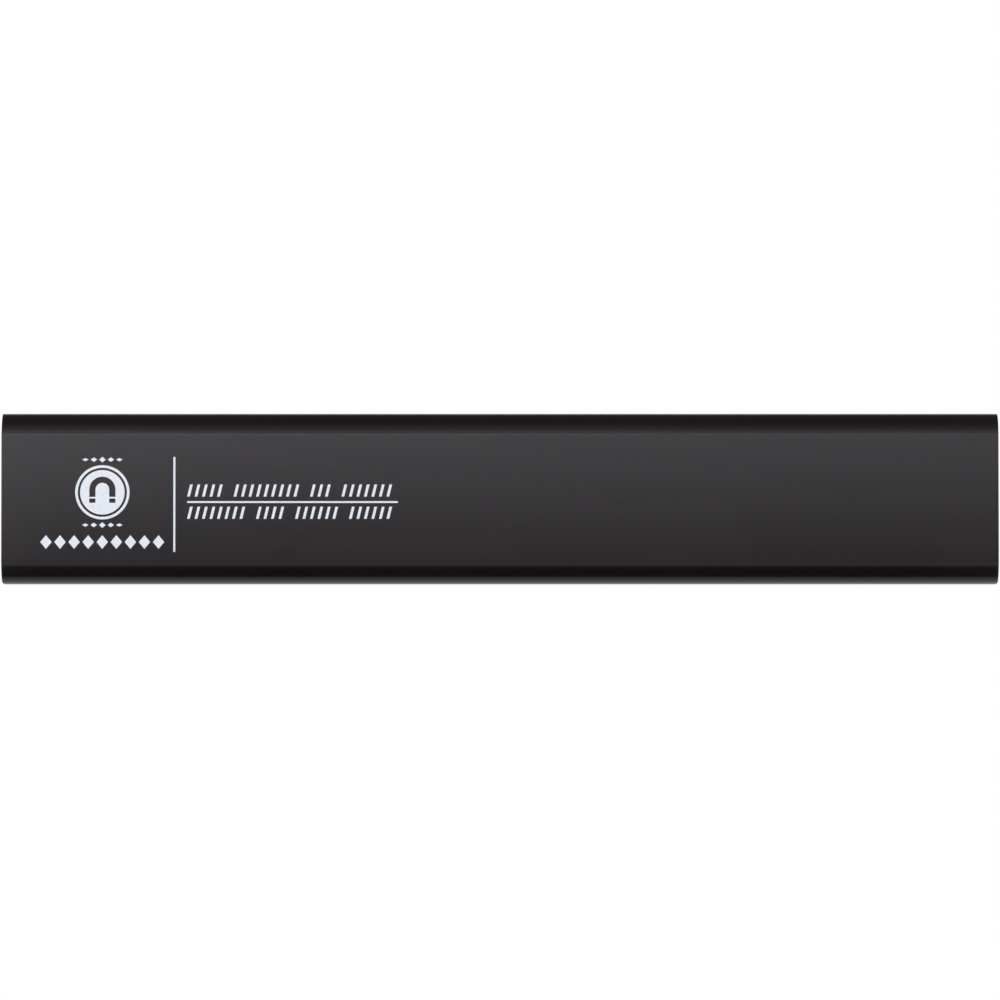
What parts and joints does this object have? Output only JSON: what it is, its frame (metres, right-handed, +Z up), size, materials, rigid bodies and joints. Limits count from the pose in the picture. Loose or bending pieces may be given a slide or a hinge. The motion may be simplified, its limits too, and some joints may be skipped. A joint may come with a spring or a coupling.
{
  "type": "magnetic knife rack",
  "caption": "Wall-hung magnetic knife rack: smooth black channel with rounded long edges, hidden magnets, and keyhole hangers that slide in a track behind.",
  "frame": {"origin": "middle of the wall plane, behind the rack, where the soft rear strips touch the wall", "axes": "+X along the rack to the right as seen from the front, +Y from the knife face into the wall, +Z up"},
  "size_m": [0.3048, 0.0172, 0.052],
  "materials": {
    "body_plastic": "satin",
    "plug_plastic": "satin",
    "carrier_plastic": "matte",
    "ferrite": "matte",
    "zinc_steel": "satin",
    "slider_nylon": "satin",
    "rivet_steel": "satin",
    "silicone": "matte",
    "print_ink": "satin"
  },
  "bodies": {
    "rack": {"body_channel": "body_plastic", "end_plug_left": "plug_plastic", "end_plug_right": "plug_plastic", "backing_plate": "zinc_steel", "magnet_carrier": "carrier_plastic", "magnet_01": "ferrite", "magnet_02": "ferrite", "magnet_03": "ferrite", "magnet_04": "ferrite", "magnet_05": "ferrite", "magnet_06": "ferrite", "magnet_07": "ferrite", "magnet_08": "ferrite", "magnet_09": "ferrite", "magnet_10": "ferrite", "magnet_11": "ferrite", "magnet_12": "ferrite", "plate_screw_1": "zinc_steel", "plate_screw_2": "zinc_steel", "plate_screw_3": "zinc_steel", "plate_screw_4": "zinc_steel", "wall_strip_upper": "silicone", "wall_strip_lower": "silicone"},
    "left_hanger": {"left_hanger_slider": "slider_nylon", "left_hanger_keyplate": "zinc_steel", "left_hanger_rivet_1": "rivet_steel", "left_hanger_rivet_2": "rivet_steel"},
    "right_hanger": {"right_hanger_slider": "slider_nylon", "right_hanger_keyplate": "zinc_steel", "right_hanger_rivet_1": "rivet_steel", "right_hanger_rivet_2": "rivet_steel"}
  },
  "joints": [
    {"name": "left_hanger_slide", "type": "slide", "parent": "rack", "child": "left_hanger", "axis": [1, 0, 0], "range_m": [-0.026, 0.078]},
    {"name": "right_hanger_slide", "type": "slide", "parent": "rack", "child": "right_hanger", "axis": [1, 0, 0], "range_m": [-0.078, 0.026]}
  ]
}
